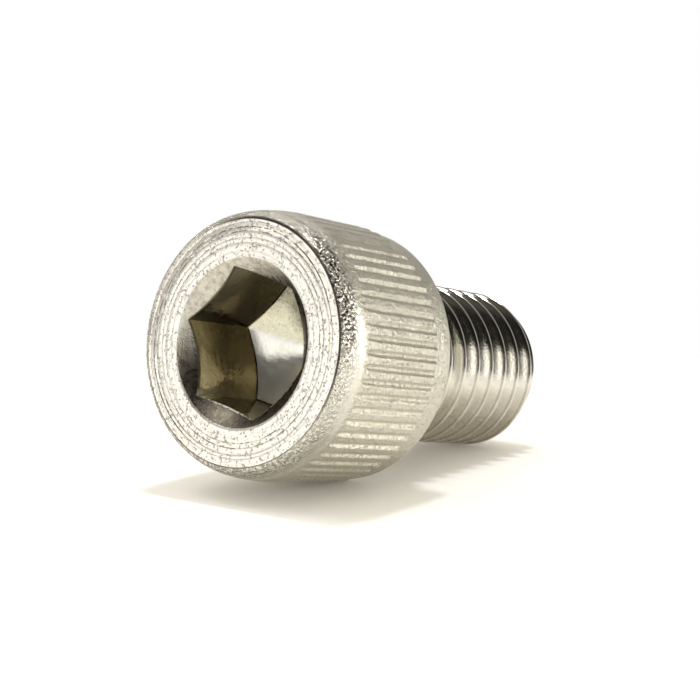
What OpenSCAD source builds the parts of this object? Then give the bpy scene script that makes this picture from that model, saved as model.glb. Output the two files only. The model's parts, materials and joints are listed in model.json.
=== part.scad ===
// Hex socket cap screw, 1/2 inch by 3/4 inch long, with a straight-knurled head.
// It lies as it comes to rest on a flat surface: on the rim of its head and the end of its full shank.
// Millimetres. Z is up, and the origin is on that surface under the middle of the screw.

/* [Head] */
// Diameter over the knurled ridges
head_d = 19.24; // [18.4:0.02:19.6]
// Height from the bearing face to the top face
head_h = 12.6; // [11.8:0.1:13.6]
// Diameter of the flat top face
face_d = 17.48; // [16.4:0.02:18.2]
// Length of the rounded shoulder between the top face and the knurling
shoulder_len = 3.7; // [2.4:0.1:4.8]
// Diameter of the plain collar behind the knurling
collar_d = 18.76; // [17.6:0.02:18.9]
// Length of the plain collar
collar_len = 2.1; // [1.2:0.1:3.0]
// Bevel of the collar's rim at the bearing face
rim_bevel = 0.25; // [0.1:0.05:0.5]

/* [Knurling] */
// Number of straight grooves round the head
groove_count = 60; // [40:1:72]
// Depth of a groove below the ridges
groove_depth = 0.16; // [0.08:0.02:0.24]
// Width of a groove at the ridges
groove_w = 0.54; // [0.36:0.02:0.72]
// Width of a groove at its floor
groove_floor_w = 0.16; // [0.08:0.02:0.3]

/* [Socket] */
// Width of the hexagon across its flats
socket_af = 9.56; // [7.9:0.02:9.7]
// Depth from the top face to the ends of the hexagon's corners
socket_depth = 7.0; // [6.2:0.1:7.6]
// Included angle of the cone at the bottom of the socket
floor_angle = 116; // [112:1:150]
// Diameter of the countersink at the top face
mouth_d = 12.04; // [11.5:0.02:13]
// Included angle of the countersink
mouth_angle = 98; // [80:1:120]
// Turn of the hexagon about the axis of the screw
socket_turn = 38; // [0:0.5:60]

/* [Shank] */
// Diameter of the shank, which is also the thread's major diameter
shank_d = 12.7; // [12.3:0.05:12.7]
// Length from the bearing face to the end
shank_len = 19.05; // [15.875:3.175:50.8]
// Fillet between the bearing face and the shank
fillet_r = 0.6; // [0.3:0.05:0.9]
// Length of the tapered end
point_len = 2.0; // [1.2:0.1:2.8]
// Slope of the tapered end, measured from the axis
point_slope = 35; // [25:1:45]

/* [Pose] */
// Turn of the whole screw about its own axis, as it lies
lying_turn = 5.5; // [0:0.5:60]

/* [Hidden] */
$fn = 96;
head_r = head_d / 2;
face_r = face_d / 2;
collar_r = collar_d / 2;
shank_r = shank_d / 2;
point_r = shank_r - point_len * tan(point_slope);
mouth_r = mouth_d / 2;
socket_corner_r = socket_af / 2 / cos(30);
shoulder_steps = 8;
fillet_steps = 5;
// A cut reaches this far outside the surface that it opens
cut_over = 1;

// The rim at the start of its bevel and the shank at the start of its taper touch the surface
rest_run = shank_len - point_len + rim_bevel;
rest_tilt = atan2(collar_r - shank_r, rest_run);
bearing_height = collar_r * cos(rest_tilt) - rim_bevel * sin(rest_tilt);

// Ends of the footprint, measured along the surface from the centre of the bearing face
shoulder_reach = norm([shoulder_len * cos(rest_tilt), (head_r - face_r) * sin(rest_tilt)]);
footprint_front = (shoulder_len - head_h) * cos(rest_tilt) - face_r * sin(rest_tilt) - shoulder_reach;
footprint_back = shank_len * cos(rest_tilt) + point_r * sin(rest_tilt);

// Quarter ellipse from the edge of the top face to the full diameter of the head
function shoulder() = [
    for (i = [0:shoulder_steps])
        let (a = 90 * i / shoulder_steps)
        [face_r + (head_r - face_r) * sin(a), -head_h + shoulder_len * (1 - cos(a))]
];

// Hollow quarter circle from the bearing face to the shank
function under_head_fillet() = [
    for (i = [0:fillet_steps])
        let (a = 90 * i / fillet_steps)
        [shank_r + fillet_r * (1 - sin(a)), fillet_r * (1 - cos(a))]
];

// Half section, with the bearing face at height 0 and the head below it
function half_section() = concat(
    [[0, -head_h]],
    shoulder(),
    [
        [head_r, -collar_len],
        [collar_r, -collar_len],
        [collar_r, -rim_bevel],
        [collar_r - rim_bevel, 0]
    ],
    under_head_fillet(),
    [
        [shank_r, shank_len - point_len],
        [point_r, shank_len],
        [0, shank_len]
    ]
);

// Star outline: its notches are the grooves, and its points lie outside the head
function knurl_outline() =
    let (
        half_step = 180 / groove_count,
        groove_floor_r = head_r - groove_depth,
        wall_slope = (groove_w - groove_floor_w) / 2 / groove_depth,
        walls_meet = (wall_slope * groove_floor_r - groove_floor_w / 2) / (wall_slope - tan(half_step)),
        tip_r = walls_meet / cos(half_step),
        corner_r = norm([groove_floor_r, groove_floor_w / 2]),
        corner_turn = atan2(groove_floor_w / 2, groove_floor_r)
    ) [
        for (i = [0:groove_count - 1])
            for (corner = [[corner_r, -corner_turn], [corner_r, corner_turn], [tip_r, half_step]])
                let (a = 2 * half_step * i + corner[1])
                corner[0] * [cos(a), sin(a)]
    ];

// Hexagon that ends on a cone, opened by a countersink that scallops the flats
module socket() {
    floor_rise = 1 / tan(floor_angle / 2);
    mouth_spread = tan(mouth_angle / 2);
    translate([0, 0, -head_h]) {
        intersection() {
            translate([0, 0, -cut_over])
                rotate(socket_turn)
                    cylinder(r = socket_corner_r, h = head_h, $fn = 6);
            rotate_extrude()
                polygon([
                    [0, -cut_over],
                    [socket_corner_r + cut_over, -cut_over],
                    [socket_corner_r + cut_over, socket_depth - cut_over * floor_rise],
                    [0, socket_depth + socket_corner_r * floor_rise]
                ]);
        }
        rotate_extrude()
            polygon([
                [0, -cut_over],
                [mouth_r + cut_over * mouth_spread, -cut_over],
                [0, mouth_r / mouth_spread]
            ]);
    }
}

// The whole screw, upright on its axis with the end of the shank upwards
module upright_screw() {
    difference() {
        intersection() {
            rotate_extrude()
                polygon(half_section());
            translate([0, 0, -head_h - cut_over])
                linear_extrude(head_h + shank_len + 2 * cut_over)
                    polygon(knurl_outline());
        }
        socket();
    }
}

module cap_screw() {
    color([0.78, 0.76, 0.7])
        translate([-(footprint_front + footprint_back) / 2, 0, bearing_height])
            rotate([0, 90 + rest_tilt, 0])
                rotate(lying_turn)
                    upright_screw();
}

cap_screw();
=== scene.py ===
import json
import math

import bpy
import numpy as np
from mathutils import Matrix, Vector


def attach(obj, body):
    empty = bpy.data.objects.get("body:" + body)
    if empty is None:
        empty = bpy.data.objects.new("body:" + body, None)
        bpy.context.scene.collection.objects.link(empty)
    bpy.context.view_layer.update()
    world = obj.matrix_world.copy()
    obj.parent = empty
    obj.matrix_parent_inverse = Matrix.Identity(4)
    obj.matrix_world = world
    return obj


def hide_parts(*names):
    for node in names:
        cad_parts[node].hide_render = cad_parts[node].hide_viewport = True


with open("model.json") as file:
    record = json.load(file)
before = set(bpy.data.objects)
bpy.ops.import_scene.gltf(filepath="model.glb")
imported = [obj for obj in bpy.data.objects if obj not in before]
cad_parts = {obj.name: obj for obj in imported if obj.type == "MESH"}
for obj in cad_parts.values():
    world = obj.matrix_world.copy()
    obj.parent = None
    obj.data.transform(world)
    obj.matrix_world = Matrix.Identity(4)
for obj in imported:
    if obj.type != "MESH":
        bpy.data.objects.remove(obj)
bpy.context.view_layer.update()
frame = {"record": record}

MM = 0.001

# The photograph's view: directions in degrees, lengths in metres
VIEW_AZIMUTH = -52.737
VIEW_ELEVATION = 7.356
VIEW_DISTANCE = 0.12287
VIEW_TARGET = (-0.002584, 0.0, 0.009536)
NEAR_CLIP = 0.005
LENS_MM = 83.55
SENSOR_MM = 36.0

# Sizes of the screw in millimetres, measured from its bearing face towards the shank's end
HEAD_R = 9.62
HEAD_H = 12.6
FACE_R = 8.74
SHOULDER_LEN = 3.7
SHOULDER_ROWS = 27
COLLAR_R = 9.38
COLLAR_LEN = 2.1
RIM_BEVEL = 0.25
SOCKET_AF = 9.56
SOCKET_CORNER_R = SOCKET_AF / 2 / math.cos(math.radians(30))
SOCKET_DEPTH = 7.0
FLOOR_RISE = 1 / math.tan(math.radians(58))
MOUTH_R = 6.02
MOUTH_EDGE_R = MOUTH_R - 0.05
MOUTH_RISE = 1 / math.tan(math.radians(49))
HEX_TURN = 73.4
CREST_R = 6.33
SHANK_LEN = 19.05
FILLET_R = 0.6
POINT_LEN = 2.0
POINT_SLOPE = math.tan(math.radians(35))

# Where the shoulder's forged skin ends in the mesh; its material fades out before that
FORGED_END = -10.3

# Knurling: angles are in degrees, and the grooves fade in from GROOVE_START along the axis
GROOVE_COUNT = 60
GROOVE_STEP = 360 / GROOVE_COUNT
GROOVE_DEPTH = 0.2
GROOVE_PHASE = 4.7
GROOVE_START = -11.2
GROOVE_FADE_LEN = 1.1
GROOVE_HALF_ANGLE = 1.9
GROOVE_WALL_ANGLE = 1.6
COLUMN_OFFSETS = np.array([-3, -2.4, -1.95, -1.72, -1.5, -1.1, -0.65, -0.35,
                           0, 0.35, 0.65, 1.1, 1.5, 1.72, 1.95, 2.4])
# Side of the head, from its left over its top, where the grooves are only half as deep
SHALLOW_AT = 100

# Top face: its points, the side on which its rim drops, and (radius, half width, depth) of its rings
FACE_POINTS = 240
FACE_STEP = np.radians(360 / FACE_POINTS)
DROP_AT = 40
DROP_INNER_R = 7.6
DROP_LEN = 1.05
FACE_RINGS = (
    (8.46, 0.045, 0.012),
    (8.1, 0.05, 0.035),
    (7.8, 0.045, 0.025),
    (7.35, 0.04, 0.015),
    (7.0, 0.04, 0.015),
    (6.45, 0.035, 0.01),
)

# Thread: places are in turns from a crest's middle, and the depths are shares of its depth
PITCH = 25.4 / 13
THREAD_DEPTH = 17 / 24 * PITCH * math.cos(math.radians(30))
THREAD_START = 0.65
THREAD_FULL = 1.5
CREST_AT = 1.83
SHANK_POINTS = 192
HALF_PLACES = (0.0, 0.035, 0.055, 0.08, 0.12, 0.17, 0.36, 0.40, 0.45, 0.5)
HALF_DEPTHS = (0.0, 0.004, 0.03, 0.085, 0.19, 0.34, 0.92, 0.975, 0.995, 1.0)
ROW_PLACES = np.array([-p for p in HALF_PLACES[:0:-1]] + list(HALF_PLACES[1:-1]))

# How far in from its rim the flat end is made of the thread's own rows of points
END_FOLD = 1.3
# Points this close to the rim of the flat end lie on it
SNAP = 0.07
# Points this close to the plain rings before and after the thread become theirs
WELD = 0.01

# Edges that bend by more than this, in degrees, are shaded as sharp
SHARP_ANGLE = 32

# Half the side of the floor, in metres
FLOOR_HALF = 1.5

# Kinds of surface, in the order of the mesh's material slots
FACE, SHOULDER, SIDE, MOUTH, EDGE, WALL, CONE, THREAD = range(8)

random = np.random.default_rng(7)


class Skin:
    """One closed mesh, grown from rings of points in (along the axis, radius, angle)."""

    def __init__(self):
        self.points = []
        self.count = 0
        self.faces = []
        self.zones = []

    def ring(self, x, r, angles):
        """Adds a ring of points and returns their numbers."""
        angles = np.asarray(angles, float)
        x = np.broadcast_to(x, angles.shape)
        r = np.broadcast_to(r, angles.shape)
        self.points.append(np.column_stack([x, r, angles]))
        first = self.count
        self.count += len(angles)
        return np.arange(first, self.count)

    def add(self, faces, zone):
        """Adds faces, which are lists of points, of one kind of surface."""
        self.faces.extend(faces)
        self.zones.extend([zone] * len(faces))

    def band(self, a, b, zone):
        """Quads between two rings with as many points each."""
        quads = np.column_stack([a, np.roll(a, -1), np.roll(b, -1), b])
        self.add(quads.tolist(), zone)

    def grow(self, last, x, r, angles, zone):
        """A new ring, joined by a band to the last one."""
        ring = self.ring(x, r, angles)
        self.band(last, ring, zone)
        return ring

    def step(self, fine, coarse, zone):
        """Faces between a fine ring and a coarse one."""
        share = len(fine) // len(coarse)
        faces = []
        for i in range(len(coarse)):
            edge = [int(fine[(share * i + s) % len(fine)]) for s in range(share + 1)]
            faces.append(edge + [int(coarse[(i + 1) % len(coarse)]), int(coarse[i])])
        self.add(faces, zone)

    def cap(self, ring, x, zone):
        """A fan from a ring to one point on the axis."""
        centre = int(self.ring(x, 0.0, [0.0])[0])
        following = np.roll(ring, -1)
        self.add([[int(a), int(b), centre] for a, b in zip(ring, following)], zone)


def smooth(t):
    """Soft step from 0 to 1."""
    t = np.clip(t, 0.0, 1.0)
    return t * t * (3 - 2 * t)


def nearness(angles, middle, low, high=1.0):
    """Soft step from 0 to 1 towards a middle angle in degrees; low and high are cosines."""
    return smooth((np.cos(angles - math.radians(middle)) - low) / (high - low))


def shoulder_radius(x):
    """Radius of the head's elliptic shoulder."""
    u = np.clip((x + HEAD_H) / SHOULDER_LEN, 0.0, 1.0)
    return FACE_R + (HEAD_R - FACE_R) * np.sqrt(1 - (1 - u) ** 2)


def knurl_columns():
    """Angles of the head's columns of points, and the depth of the grooves there."""
    wall = np.clip((GROOVE_HALF_ANGLE - np.abs(COLUMN_OFFSETS)) / GROOVE_WALL_ANGLE, 0.0, 1.0)
    angles, depths = [], []
    for i in range(GROOVE_COUNT):
        middle = GROOVE_PHASE + GROOVE_STEP * i
        shallow = 0.5 * nearness(math.radians(middle), SHALLOW_AT, 0.75)
        depth = GROOVE_DEPTH * (1 - shallow) * random.uniform(0.9, 1.1)
        angles.append(middle + COLUMN_OFFSETS + random.uniform(-0.05, 0.05))
        depths.append(depth * smooth(wall))
    return np.radians(np.concatenate(angles)), np.concatenate(depths)


def hexagon_radius(angles):
    """Distance from the axis to the hexagon."""
    sector = np.radians(60)
    phase = np.mod(angles - math.radians(HEX_TURN), sector) - sector / 2
    return SOCKET_AF / 2 / np.cos(phase)


def thread_depth(turns):
    """Depth below the crest for a place in turns from a crest's middle."""
    u = np.abs(np.mod(turns + 0.5, 1.0) - 0.5)
    return THREAD_DEPTH * np.interp(u, HALF_PLACES, HALF_DEPTHS)


def add_head(skin):
    """The outside of the head, from the top face's edge to the bearing face."""
    angles, depths = knurl_columns()
    rows = []
    for t in np.linspace(0.0, 90.0, SHOULDER_ROWS):
        x = -HEAD_H + SHOULDER_LEN * (1 - math.cos(math.radians(t)))
        rows.append((x, SHOULDER if x < FORGED_END else SIDE))
    rows += [(x, SIDE) for x in (-7.8, -6.4, -5.0, -3.6, -2.6, -COLLAR_LEN - 0.12)]
    edge = last = None
    for x, zone in rows:
        grooved = HEAD_R - depths * smooth((x - GROOVE_START) / GROOVE_FADE_LEN)
        r = np.minimum(shoulder_radius(x), grooved)
        if edge is None:
            edge = last = skin.ring(x, r, angles)
        else:
            last = skin.grow(last, x, r, angles, zone)

    for x, r in (
        (-COLLAR_LEN - 0.02, COLLAR_R + 0.1),
        (-COLLAR_LEN + 0.1, COLLAR_R + 0.01),
        (-COLLAR_LEN + 0.25, COLLAR_R),
        (-1.2, COLLAR_R),
        (-RIM_BEVEL - 0.1, COLLAR_R),
        (-RIM_BEVEL, COLLAR_R - 0.02),
        (-0.12, COLLAR_R - 0.1),
        (-0.03, COLLAR_R - 0.21),
        (0.0, COLLAR_R - 0.33),
    ):
        last = skin.grow(last, x, np.minimum(r, HEAD_R - depths), angles, SIDE)
    return edge, last, angles


def face_angles(first):
    """Angles of the top face's points: near the first one given, with points on the hexagon's corners."""
    turn = math.radians(HEX_TURN)
    return turn + FACE_STEP * (np.round((first - turn) / FACE_STEP) + np.arange(FACE_POINTS))


def add_face(skin, edge, angles):
    """The turned top face, from its edge to the countersink's."""
    drop = 0.02 + 0.13 * nearness(angles, DROP_AT, 0.55, 0.95)
    rings = [(FACE_R - 0.04, 0.13), (FACE_R - 0.09, drop)]
    for r, half, depth in FACE_RINGS:
        level = drop * np.clip((r - DROP_INNER_R) / DROP_LEN, 0.0, 1.0)
        rings += [(r + half, level), (r, level + depth), (r - half, level)]
    rings += [(MOUTH_R + 0.17, 0.0), (MOUTH_R + 0.07, 0.02), (MOUTH_EDGE_R, 0.09)]

    r, sunk = rings[0]
    last = skin.ring(-HEAD_H + sunk, r, angles)
    skin.step(edge, last, FACE)
    for r, sunk in rings[1:]:
        last = skin.grow(last, -HEAD_H + sunk, r, angles, FACE)
    return last


def add_socket(skin, last, angles):
    """The countersink, the hexagon and the cone at its bottom."""
    wall = hexagon_radius(angles)
    mouth = (MOUTH_R - wall) * MOUTH_RISE
    floor = SOCKET_DEPTH + (SOCKET_CORNER_R - wall) * FLOOR_RISE
    for u in (0.25, 0.5, 0.75, 0.93):
        r = MOUTH_EDGE_R + (wall - MOUTH_EDGE_R) * u
        last = skin.grow(last, -HEAD_H + (MOUTH_R - r) * MOUTH_RISE, r, angles, MOUTH)
    for down in (0.03, 0.14):
        last = skin.grow(last, -HEAD_H + mouth + down, wall - 0.01 + down * 0.08, angles, EDGE)
    for v in (0.08, 0.2, 0.4, 0.6, 0.8, 0.93):
        last = skin.grow(last, -HEAD_H + mouth + (floor - mouth) * v, wall, angles, WALL)
    for r, down in ((wall, -0.05), (wall - 0.07, 0.02)):
        last = skin.grow(last, -HEAD_H + floor + down, r, angles, WALL)
    for w in (0.85, 0.7, 0.5, 0.3, 0.12, 0.04):
        depth = SOCKET_DEPTH + (SOCKET_CORNER_R - wall * w) * FLOOR_RISE
        last = skin.grow(last, -HEAD_H + depth, wall * w, angles, CONE)
    skin.cap(last, -HEAD_H + SOCKET_DEPTH + SOCKET_CORNER_R * FLOOR_RISE - 0.02, CONE)


def add_underside(skin, rim, angles):
    """The bearing face and the fillet."""
    last = skin.ring(0.0, COLLAR_R - 0.5, angles)
    skin.step(rim, last, SIDE)
    fillet_outer_r = CREST_R + FILLET_R
    for r in (8.2, 7.4, fillet_outer_r):
        last = skin.grow(last, 0.0, r, angles, SIDE)
    for t in np.radians((18, 36, 54, 72, 90)):
        x = FILLET_R * (1 - math.cos(t))
        last = skin.grow(last, x, fillet_outer_r - FILLET_R * math.sin(t), angles, THREAD)
    return last


def add_thread(skin, last, angles):
    """The helical thread and the end of the shank.

    Its rows of points follow the helix. Where a row leaves the thread at either end, its points are
    those of a plain ring there, and faces that shrink to nothing are left out.
    """
    end = SHANK_LEN + END_FOLD
    first_turn = int(math.floor((THREAD_START - CREST_AT) / PITCH)) - 2
    last_turn = int(math.ceil((end - CREST_AT) / PITCH)) + 1
    rows = np.concatenate([k + ROW_PLACES for k in range(first_turn, last_turn)])
    along = CREST_AT + PITCH * (rows[:, None] + (angles / (2 * math.pi))[None, :])
    along = np.where(np.abs(along - SHANK_LEN) < SNAP, SHANK_LEN, along)
    point = CREST_R - (np.clip(along, 0, SHANK_LEN) - (SHANK_LEN - POINT_LEN)) * POINT_SLOPE
    fade = smooth((along - THREAD_START) / (THREAD_FULL - THREAD_START))
    turns = np.broadcast_to(rows[:, None], along.shape)
    radius = np.minimum(CREST_R - thread_depth(turns) * fade, point)
    # What lies past the end of the shank is folded onto its flat end
    radius = radius - np.maximum(along - SHANK_LEN, 0.0)
    x = np.minimum(along, SHANK_LEN)

    low = skin.grow(last, THREAD_START, CREST_R, angles, THREAD)
    high = skin.ring(SHANK_LEN, CREST_R - POINT_LEN * POINT_SLOPE - END_FOLD, angles)
    numbers = np.empty(along.shape, int)
    for i in range(len(rows)):
        inner = (along[i] > THREAD_START + WELD) & (along[i] < end - WELD)
        numbers[i] = np.where(along[i] <= THREAD_START + WELD, low, high)
        if inner.any():
            numbers[i][inner] = skin.ring(x[i][inner], radius[i][inner], angles[inner])
    # After a full turn, each row goes on as the row one turn later
    rows_a_turn = len(ROW_PLACES)
    beside = np.empty_like(numbers)
    beside[:, :-1] = numbers[:, 1:]
    beside[:-rows_a_turn, -1] = numbers[rows_a_turn:, 0]
    beside[-rows_a_turn:, -1] = high[0]
    faces = []
    for i in range(len(rows) - 1):
        for corners in zip(numbers[i], beside[i], beside[i + 1], numbers[i + 1]):
            face = list(dict.fromkeys(int(corner) for corner in corners))
            if len(face) > 2:
                faces.append(face)
    skin.add(faces, THREAD)
    ring = skin.grow(high, SHANK_LEN - 0.01, 2.0, angles, THREAD)
    skin.cap(ring, SHANK_LEN - 0.01, THREAD)


def place(points):
    """Turns (along the axis, radius, angle) into the row's own metres.

    Also gives the same places in millimetres: along the axis, across and upward.
    """
    mount = next(m for m in frame["record"]["mounts"] if m["name"] == "bearing_face")
    origin = np.array(mount["pos_m"])
    along = np.array(mount["axis"])
    across = np.array([0.0, 1.0, 0.0])
    upward = np.cross(along, across)
    x, r, a = points.T
    local = np.column_stack([x, r * np.cos(a), r * np.sin(a)])
    return origin + MM * (local @ np.array([along, across, upward])), local


def build_screw():
    """The whole screw as one object, with its place in millimetres kept for the materials."""
    skin = Skin()
    edge, rim, angles = add_head(skin)
    on_face = face_angles(angles[0])
    add_socket(skin, add_face(skin, edge, on_face), on_face)
    on_shank = angles[0] + np.radians(360 / SHANK_POINTS) * np.arange(SHANK_POINTS)
    add_thread(skin, add_underside(skin, rim, on_shank), on_shank)
    points, local = place(np.concatenate(skin.points))
    mesh = bpy.data.meshes.new("screw_skin")
    mesh.from_pydata(points.tolist(), [], skin.faces)
    mesh.polygons.foreach_set("material_index", skin.zones)
    place_on_screw = mesh.attributes.new("screw_mm", "FLOAT_VECTOR", "POINT")
    place_on_screw.data.foreach_set("vector", local.ravel())
    mesh.update()
    mesh.shade_smooth()
    mesh.set_sharp_from_angle(angle=math.radians(SHARP_ANGLE))
    screw = bpy.data.objects.new("screw_skin", mesh)
    bpy.context.scene.collection.objects.link(screw)
    return screw


class Shader:
    """Short calls for a material's or the world's nodes."""

    def __init__(self, owner):
        owner.use_nodes = True
        self.tree = owner.node_tree
        self.tree.nodes.clear()

    def node(self, kind, **inputs):
        """A node with its inputs given by name, or by number as in _0."""
        n = self.tree.nodes.new(kind)
        for name, value in inputs.items():
            self.give(n, name, value)
        return n

    def give(self, n, name, value):
        """Links an input of a node to an output, or sets it."""
        by_number = name[0] == "_" and name[1:].isdigit()
        at = n.inputs[int(name[1:])] if by_number else n.inputs[name.replace("_", " ")]
        if isinstance(value, bpy.types.NodeSocket):
            self.tree.links.new(value, at)
        else:
            at.default_value = value

    def show(self, kind, surface):
        """The tree's output node, which shows what the surface's node gives."""
        self.node(kind, _0=surface.outputs[0])

    def math(self, operation, a, b=0.0, c=0.0):
        n = self.node("ShaderNodeMath", _0=a, _1=b, _2=c)
        n.operation = operation
        return n.outputs[0]

    def plus(self, a, b):
        return self.math("ADD", a, b)

    def minus(self, a, b):
        return self.math("SUBTRACT", a, b)

    def times(self, a, b):
        return self.math("MULTIPLY", a, b)

    def most(self, a, b):
        return self.math("MAXIMUM", a, b)

    def times_plus(self, a, b, c):
        return self.math("MULTIPLY_ADD", a, b, c)

    def fit(self, value, low, high, to_low=0.0, to_high=1.0):
        """Soft step from one value to another as the first goes from low to high."""
        n = self.node("ShaderNodeMapRange", Value=value, From_Min=low, From_Max=high,
                      To_Min=to_low, To_Max=to_high)
        n.interpolation_type = "SMOOTHSTEP"
        return n.outputs[0]

    def mix(self, share, a, b):
        """Colour between a and b, which is all b where the share is 1."""
        n = self.node("ShaderNodeMix")
        n.data_type = "RGBA"
        self.give(n, "_0", share)
        self.give(n, "_6", a)
        self.give(n, "_7", b)
        return n.outputs[2]


class ScrewShader(Shader):
    """The nodes of one of the screw's materials, which know their place on it in millimetres."""

    def __init__(self, material):
        super().__init__(material)
        attribute = self.node("ShaderNodeAttribute")
        attribute.attribute_name = "screw_mm"
        self.spot = attribute.outputs["Vector"]

    def noise(self, scale, detail=3.0, roughness=0.55):
        n = self.node("ShaderNodeTexNoise", Vector=self.spot, Scale=scale, Detail=detail,
                      Roughness=roughness)
        return n.outputs["Fac"]

    def parts(self):
        """Distances along the axis, across and upward."""
        return self.node("ShaderNodeSeparateXYZ", Vector=self.spot).outputs

    def along(self):
        """Distance along the axis from the bearing face, less than 0 in the head."""
        return self.parts()[0]

    def radius(self):
        """Distance from the axis."""
        _, across, upward = self.parts()
        return self.math("SQRT", self.plus(self.times(across, across), self.times(upward, upward)))

    def leaning(self, across_share, upward_share):
        """Distance from the axis in one direction, given by its shares across and upward."""
        _, across, upward = self.parts()
        return self.times_plus(across, across_share, self.times(upward, upward_share))

    def above(self):
        """Height above the axis."""
        return self.leaning(0.0, 1.0)

    def left(self):
        """Distance from the axis towards the photograph's left."""
        return self.leaning(1.0, 0.0)


def opaque(colour, shade=1.0):
    """A colour, shaded if asked, as a node's socket takes it."""
    return tuple(shade * v for v in colour) + (1.0,)


def steel(name, tint, dark, rough, grain, metallic=1.0, second=None):
    """Stainless steel: tint and dark are its tones, rough its range of roughness.

    grain(shader) gives the height of its texture in millimetres and the share of the dark tone, which in
    places is painted shade.
    second is (tint, rough, share) of another finish, where share(shader) says how much of it shows.
    """
    material = bpy.data.materials.new(name)
    s = ScrewShader(material)
    # Large clouds dim the tint a little, and smaller patches vary the roughness
    cloud = s.fit(s.noise(0.55, 4.0, 0.6), 0.35, 0.7)
    tone = s.mix(cloud, opaque(tint), opaque(tint, 0.93))
    uneven = s.noise(2.3)
    roughness = s.fit(uneven, 0.3, 0.7, *rough)
    if second:
        other_tint, other_rough, share = second
        much = share(s)
        tone = s.mix(much, tone, opaque(other_tint))
        other = s.fit(uneven, 0.3, 0.7, *other_rough)
        roughness = s.times_plus(much, s.minus(other, roughness), roughness)
    height, shade = grain(s)
    tone = s.mix(shade, tone, opaque(dark))
    bump = s.node("ShaderNodeBump", Height=height, Distance=MM, Strength=1.0)
    s.show("ShaderNodeOutputMaterial", s.node(
        "ShaderNodeBsdfPrincipled", Base_Color=tone, Roughness=roughness,
        Normal=bump.outputs[0], Metallic=metallic))
    return material


def turned_grain(s):
    """Fine uneven rings left by turning, with painted shade in the deeper ones, stronger on some sides,
    and small pits.
    """
    radius = s.radius()
    line = s.node("ShaderNodeTexNoise", Scale=9.0, Detail=4.0)
    line.noise_dimensions = "1D"
    s.give(line, "W", s.plus(radius, s.times(s.noise(0.7, 2.0), 0.1)))
    speck = s.fit(s.noise(6.0, 4.0), 0.57, 0.64)
    height = s.minus(s.times(line.outputs["Fac"], 0.008), s.times(speck, 0.025))
    marks_and_painted_shade = s.times(speck, 0.6)
    broken = s.noise(1.6, 5.0, 0.7)
    upper_left = s.fit(s.leaning(0.7, 0.7), -5.0, 1.0, 0.1, 1.0)
    lower_right = s.fit(s.leaning(0.7, 0.7), 5.0, -1.0, 0.2, 1.0)
    upper_right = s.fit(s.leaning(-0.7, 0.7), 0.0, 6.0, 0.2, 1.0)
    # Rings of painted shade: radius, half width, how broken they are, and the side where they are strong
    for at, half, low, share in (
        (FACE_R, 0.14, 0.3, upper_right),
        (8.46, 0.05, 0.5, upper_left),
        (8.1, 0.07, 0.4, upper_left),
        (7.8, 0.06, 0.44, upper_left),
        (7.35, 0.05, 0.42, lower_right),
        (7.0, 0.05, 0.46, lower_right),
    ):
        off = s.math("ABSOLUTE", s.minus(radius, at))
        # Painted shade in the ring's groove, broken by noise
        painted_ring_shade = s.times(s.fit(off, half, 0.3 * half), s.fit(broken, low, low + 0.12))
        marks_and_painted_shade = s.most(marks_and_painted_shade, s.times(painted_ring_shade, s.times(share, 0.9)))
    return height, marks_and_painted_shade


def rolled_share(s):
    """Where the shoulder's forged skin gives way to the rolled side."""
    upper = s.fit(s.above(), 1.0, 4.0)
    return s.fit(s.times_plus(upper, 0.5, s.along()), -11.2, -10.5)


def pebble_grain(s):
    """The rough forged skin of the shoulder: small round pebbles with dark pits between, which painted
    shade makes darker below and towards the upper right, and painted shade in the crease at the face's
    edge.
    """
    cells = s.node("ShaderNodeTexVoronoi", Vector=s.spot, Scale=3.6)
    lumps = s.fit(cells.outputs["Distance"], 0.0, 0.8, 1.0, 0.0)
    height = s.plus(s.times(lumps, 0.06), s.times(s.noise(6.0), 0.09))
    pits = s.fit(s.noise(4.8), 0.48, 0.55)
    height = s.minus(height, s.times(pits, 0.03))
    near_edge = s.fit(s.along(), -11.0, -12.1)
    height = s.times(height, s.times_plus(near_edge, 0.9, 0.1))
    skin, _ = side_grain(s)
    height = s.plus(height, s.times(skin, rolled_share(s)))

    # Painted shade: the pits are darkest towards the upper right and darker below
    painted_dark_side = s.fit(s.leaning(-0.86, 0.51), 6.9, 9.0)
    bottom = s.fit(s.leaning(-0.5, 1.0), 0.0, -6.0, 0.0, 0.35)
    marks_and_painted_shade = s.times(near_edge, s.plus(bottom, s.times_plus(painted_dark_side, 0.8, 0.2)))
    # Painted shade along the crease at the face's edge, strongest on the upper right
    painted_crease_shade = s.times(s.fit(s.radius(), FACE_R + 0.16, FACE_R + 0.06),
                     s.fit(s.leaning(-0.8, 0.6), 1.0, 7.0, 0.1, 0.95))
    return height, s.most(s.times(pits, marks_and_painted_shade), painted_crease_shade)


def painted_light_below_share(s):
    """Painted light: the rolled side is a little paler below the middle, but not at the very bottom."""
    above = s.above()
    return s.times(s.fit(above, 0.0, -4.5), s.fit(above, -8.6, -6.4))


def side_grain(s):
    """The rolled side: a matt skin with shallow dents and a few pits."""
    pits = s.fit(s.noise(4.6, 4.0), 0.56, 0.66)
    height = s.plus(s.times(s.noise(9.0, 4.0), 0.045), s.times(s.noise(2.6), 0.12))
    return s.minus(height, s.times(pits, 0.03)), s.times(pits, 0.4)


def mouth_grain(s):
    """The countersink: mottled, with fine scratches, and painted shade below and at the right."""
    blotch = s.noise(2.0, 5.0, 0.65)
    height = s.plus(s.times(blotch, 0.03), s.times(s.noise(8.0, 4.0), 0.012))
    # Painted shade below and at the right of the countersink
    below = s.fit(s.above(), 2.0, -4.0, 0.0, 0.88)
    right = s.fit(s.left(), -1.0, -4.5, 0.0, 0.95)
    patches = s.times(s.fit(blotch, 0.42, 0.62), 0.4)
    return height, s.most(patches, s.most(below, right))


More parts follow.
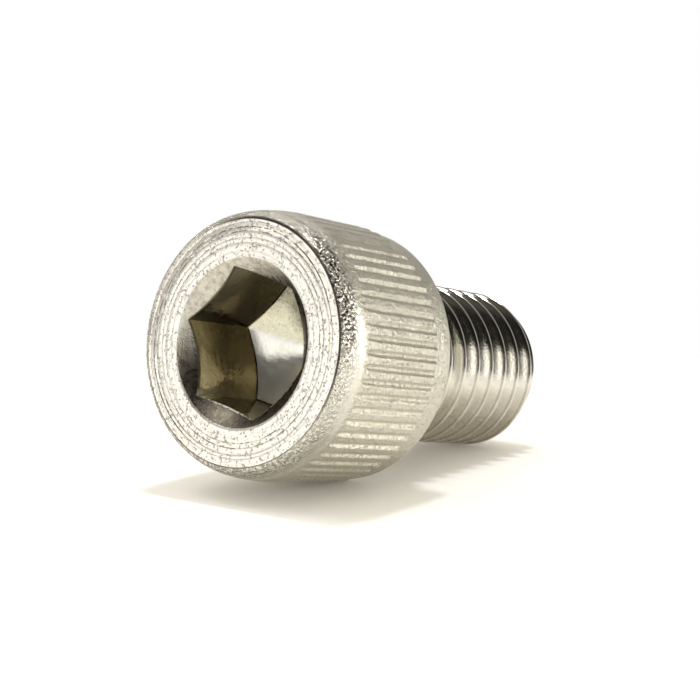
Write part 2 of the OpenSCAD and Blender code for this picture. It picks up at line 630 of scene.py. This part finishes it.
def edge_grain(s):
    """The worn edge between the countersink and the walls, dark with painted shade except low in the
    socket, where it is bright.
    """
    fine = s.noise(3.0)
    # Painted shade on all but the lowest part of the edge
    high = s.fit(s.leaning(0.35, 1.0), -3.4, -1.0)
    return s.times(fine, 0.02), s.most(high, s.fit(fine, 0.46, 0.56))


def painted_pale_walls(s):
    """The walls that face away from the light, which the others mirror: painted pale as painted light, on
    the right and a little low down.
    """
    below = s.fit(s.above(), -3.0, -4.4, 0.0, 0.3)
    return s.most(below, s.fit(s.left(), -1.2, -2.2))


def wall_grain(s):
    """Broached walls: soft waves, and painted shade that makes them darker towards the bottom."""
    return s.times(s.noise(0.8), 0.05), s.fit(s.along(), -11.8, -8.0, 0.0, 0.9)


def above_left_corner(s):
    """Distance above the line from the axis to the hexagon's left corner."""
    return s.leaning(-0.23, 0.97)


def painted_cream_reflection_share(s):
    """Painted reflection: the sector of the cone above the hexagon's left corner is creamier than the one
    below.
    """
    return s.fit(above_left_corner(s), -0.06, 0.06)


def cone_grain(s):
    """The drilled cone at the bottom: soft waves, faint marks in its cream sector, and painted shade on
    its lower right side.
    """
    fine = s.noise(7.0)
    height = s.plus(s.times(s.noise(1.1), 0.02), s.times(fine, 0.003))
    # Painted shade on the cone's lower right side
    below = s.fit(s.leaning(0.72, 0.7), -0.1, -2.6, 0.0, 0.3)
    marks = s.times(s.fit(fine, 0.56, 0.66), s.fit(above_left_corner(s), -0.1, 0.1, 0.05, 0.3))
    return height, s.most(below, marks)


def underside(s):
    """The thread's lower part, whose flanks are duller than its crests, with a darker tint there as
    painted shade.
    """
    return s.times(s.fit(s.above(), -0.5, -3.5), s.fit(s.radius(), 6.31, 6.26))


def thread_grain(s):
    """Rolled thread: polished, with faint marks and painted shade beside the crests."""
    fine = s.noise(5.0)
    radius = s.radius()
    # Painted shade on the flanks just beside each crest
    beside = s.times(s.fit(radius, 6.3, 6.25), s.fit(radius, 6.08, 6.18))
    marks_and_painted_shade = s.most(s.times(s.fit(fine, 0.6, 0.75), 0.2), s.times(beside, 0.45))
    return s.times(fine, 0.008), marks_and_painted_shade


ROLLED_TINT = (0.72, 0.68, 0.575)
ROLLED_ROUGH = (0.32, 0.44)

# The screw's materials, in the order of the kinds of surface
FINISHES = (
    dict(name="turned_face", grain=turned_grain,
         tint=(0.92, 0.89, 0.82), dark=(0.14, 0.12, 0.09), rough=(0.28, 0.4)),
    dict(name="forged_shoulder", grain=pebble_grain,
         tint=(0.86, 0.82, 0.72), dark=(0.04, 0.033, 0.025), rough=(0.16, 0.26),
         second=(ROLLED_TINT, ROLLED_ROUGH, rolled_share)),
    dict(name="rolled_side", grain=side_grain,
         tint=ROLLED_TINT, dark=(0.28, 0.25, 0.18), rough=ROLLED_ROUGH,
         # The paler second tint is painted light below the middle of the side
         second=((0.82, 0.775, 0.655), ROLLED_ROUGH, painted_light_below_share)),
    dict(name="pressed_mouth", grain=mouth_grain,
         tint=(0.66, 0.62, 0.53), dark=(0.12, 0.1, 0.07), rough=(0.22, 0.36)),
    dict(name="worn_edge_painted_shade_above", grain=edge_grain,
         tint=(0.95, 0.93, 0.88), dark=(0.2, 0.17, 0.12), rough=(0.45, 0.55)),
    dict(name="broached_wall", grain=wall_grain,
         # The walls' dark tint is painted shade inside the socket
         tint=(0.32, 0.28, 0.19), dark=(0.14, 0.11, 0.06), rough=(0.08, 0.16),
         # The pale second tint is painted light on the walls that the others mirror
         second=((0.92, 0.87, 0.72), (0.1, 0.2), painted_pale_walls)),
    dict(name="drilled_cone", grain=cone_grain, metallic=0.65,
         tint=(0.98, 0.97, 0.9), dark=(0.12, 0.12, 0.11), rough=(0.16, 0.24),
         # The creamier second tint is a painted reflection in the sector above the hexagon's left corner
         second=((0.98, 0.94, 0.72), (0.2, 0.3), painted_cream_reflection_share)),
    dict(name="rolled_thread", grain=thread_grain,
         tint=(0.8, 0.765, 0.67), dark=(0.3, 0.26, 0.18), rough=(0.1, 0.16),
         # The darker second tint is painted shade on the thread's lower flanks
         second=((0.72, 0.66, 0.565), (0.24, 0.34), underside)),
)

# The room's tones by azimuth, in degrees from +X towards +Y: (azimuth, strength)
CARD = (
    (0, 0.5), (45, 0.6), (85, 0.6), (112, 0.5), (127, 0.5), (136, 1.8), (172, 1.8),
    (178, 1.2), (185, 2.2), (203, 2.2), (209, 0.9), (216, 0.2), (243, 0.12), (254, 0.6),
    (272, 1.0), (279, 5.2), (306, 5.2), (314, 0.6), (332, 0.45), (359, 0.45),
)
ROUND_SIDES = (
    (0, 0.33), (30, 0.5), (52, 0.55), (74, 0.12), (88, 0.12), (98, 0.55), (142, 0.55), (156, 0.03),
)
CAMERA_SIDE = ((201, 0.015), (245, 0.015), (268, 0.12), (298, 0.19), (359, 0.33))
PANEL = ROUND_SIDES + ((166, 0.03), (173, 1.3), (189, 1.3), (196, 0.015)) + CAMERA_SIDE
COVE = ROUND_SIDES + ((166, 0.015),) + CAMERA_SIDE
CEILING = (0.09, 0.087, 0.08)
WARM = (1.0, 0.98, 0.92)
WHITE = (1.0, 1.0, 1.0)


def ring_of_tones(s, azimuth, tones):
    """A warm white whose strength follows the azimuth, given as a share of a turn."""
    ramp = s.node("ShaderNodeValToRGB", Fac=azimuth)
    stops = ramp.color_ramp.elements
    while len(stops) > 1:
        stops.remove(stops[-1])
    for i, (degrees, strength) in enumerate(tones):
        stop = stops[0] if i == 0 else stops.new(degrees / 360)
        stop.position = degrees / 360
        stop.color = opaque(WARM, strength)
    return ramp.outputs["Color"]


def make_world():
    """A room of cards at table height, dark where the camera stands, under a panel and a dim ceiling.

    The camera sees white.
    """
    world = bpy.data.worlds.new("studio")
    bpy.context.scene.world = world
    s = Shader(world)
    direction = s.node("ShaderNodeTexCoord").outputs["Generated"]
    east, north, height = s.node("ShaderNodeSeparateXYZ", Vector=direction).outputs
    azimuth = s.math("FRACT", s.times(s.math("ARCTAN2", north, east), 1 / (2 * math.pi)))
    card, panel, cove = (ring_of_tones(s, azimuth, tones) for tones in (CARD, PANEL, COVE))
    tone = s.mix(s.fit(height, 0.29, 0.41), card, panel)
    tone = s.mix(s.fit(height, 0.5, 0.62), tone, cove)
    tone = s.mix(s.fit(height, 0.76, 0.86), tone, opaque(CEILING))
    light = s.node("ShaderNodeBackground", Color=tone)
    white = s.node("ShaderNodeBackground", Color=opaque(WHITE))
    seen = s.node("ShaderNodeLightPath").outputs["Is Camera Ray"]
    s.show("ShaderNodeOutputWorld", s.node(
        "ShaderNodeMixShader", Fac=seen, _1=light.outputs[0], _2=white.outputs[0]))


def make_floor():
    """White paper, which glows for the camera and in the metal, with painted shade that dims the glow
    under and near the screw.

    Further away both see plain white.
    """
    mesh = bpy.data.meshes.new("floor")
    corners = [(FLOOR_HALF * x, FLOOR_HALF * y, 0) for x, y in ((-1, -1), (1, -1), (1, 1), (-1, 1))]
    mesh.from_pydata(corners, [], [(0, 1, 2, 3)])
    floor = bpy.data.objects.new("floor", mesh)
    bpy.context.scene.collection.objects.link(floor)
    material = bpy.data.materials.new("floor_paper")
    s = Shader(material)
    away = s.node("ShaderNodeVectorMath", _0=s.node("ShaderNodeTexCoord").outputs["Object"])
    away.operation = "LENGTH"
    distance = away.outputs["Value"]
    path = s.node("ShaderNodeLightPath").outputs
    camera_ray, glossy_ray = path["Is Camera Ray"], path["Is Glossy Ray"]

    # Painted shade: ambient occlusion dims the glow under and near the screw
    open_sky = s.node("ShaderNodeAmbientOcclusion", Distance=0.03)
    open_sky.samples = 8
    open_share = s.fit(open_sky.outputs["AO"], 0.0, 0.9, 0.1, 1.0)
    # Painted shade in the metal: the floor it mirrors glows less near the screw
    to_mirror = s.times(glossy_ray, s.fit(distance, 0.016, 0.034, 0.45, 1.0))
    glow = s.node("ShaderNodeEmission", Color=opaque((0.58, 0.55, 0.46)),
                  Strength=s.times(open_share, s.plus(camera_ray, to_mirror)))
    paper = s.node("ShaderNodeBsdfDiffuse", Color=opaque((0.88, 0.875, 0.87)))
    near = s.node("ShaderNodeAddShader", _0=paper.outputs[0], _1=glow.outputs[0])

    white = s.node("ShaderNodeEmission", Color=opaque(WHITE), Strength=1.0)
    far_share = s.times(s.most(camera_ray, glossy_ray), s.fit(distance, 0.03, 0.08))
    s.show("ShaderNodeOutputMaterial", s.node(
        "ShaderNodeMixShader", Fac=far_share, _1=near.outputs[0], _2=white.outputs[0]))
    mesh.materials.append(material)


def make_lamp(name, azimuth, elevation, distance, size, watts):
    """A round soft lamp aimed at the screw. Its azimuth goes from +X towards +Y."""
    a, e = math.radians(azimuth), math.radians(elevation)
    towards = Vector((math.cos(a) * math.cos(e), math.sin(a) * math.cos(e), math.sin(e)))
    data = bpy.data.lights.new(name, "AREA")
    data.shape = "DISK"
    data.size = size
    data.energy = watts
    lamp = bpy.data.objects.new(name, data)
    lamp.location = Vector(VIEW_TARGET) + towards * distance
    lamp.rotation_euler = towards.to_track_quat("Z", "Y").to_euler()
    lamp.visible_camera = False
    bpy.context.scene.collection.objects.link(lamp)


def make_camera():
    """The photograph's camera. Its azimuth is 0 where it looks along +Y."""
    a, e = math.radians(VIEW_AZIMUTH), math.radians(VIEW_ELEVATION)
    back = Vector((math.sin(a) * math.cos(e), -math.cos(a) * math.cos(e), math.sin(e)))
    data = bpy.data.cameras.new("camera")
    data.lens = LENS_MM
    data.sensor_width = SENSOR_MM
    data.clip_start = NEAR_CLIP
    camera = bpy.data.objects.new("camera", data)
    camera.location = Vector(VIEW_TARGET) + back * VIEW_DISTANCE
    camera.rotation_euler = back.to_track_quat("Z", "Y").to_euler()
    bpy.context.scene.collection.objects.link(camera)
    bpy.context.scene.camera = camera


make_camera()
make_world()
make_floor()
make_lamp("overhead", azimuth=25, elevation=82, distance=0.5, size=0.07, watts=0.95)
make_lamp("left", azimuth=120, elevation=62, distance=0.5, size=0.16, watts=0.32)
screw = build_screw()
for finish in FINISHES:
    screw.data.materials.append(steel(**finish))
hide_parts("cap_screw")
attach(screw, "root")

bpy.context.scene.view_settings.view_transform = "Standard"
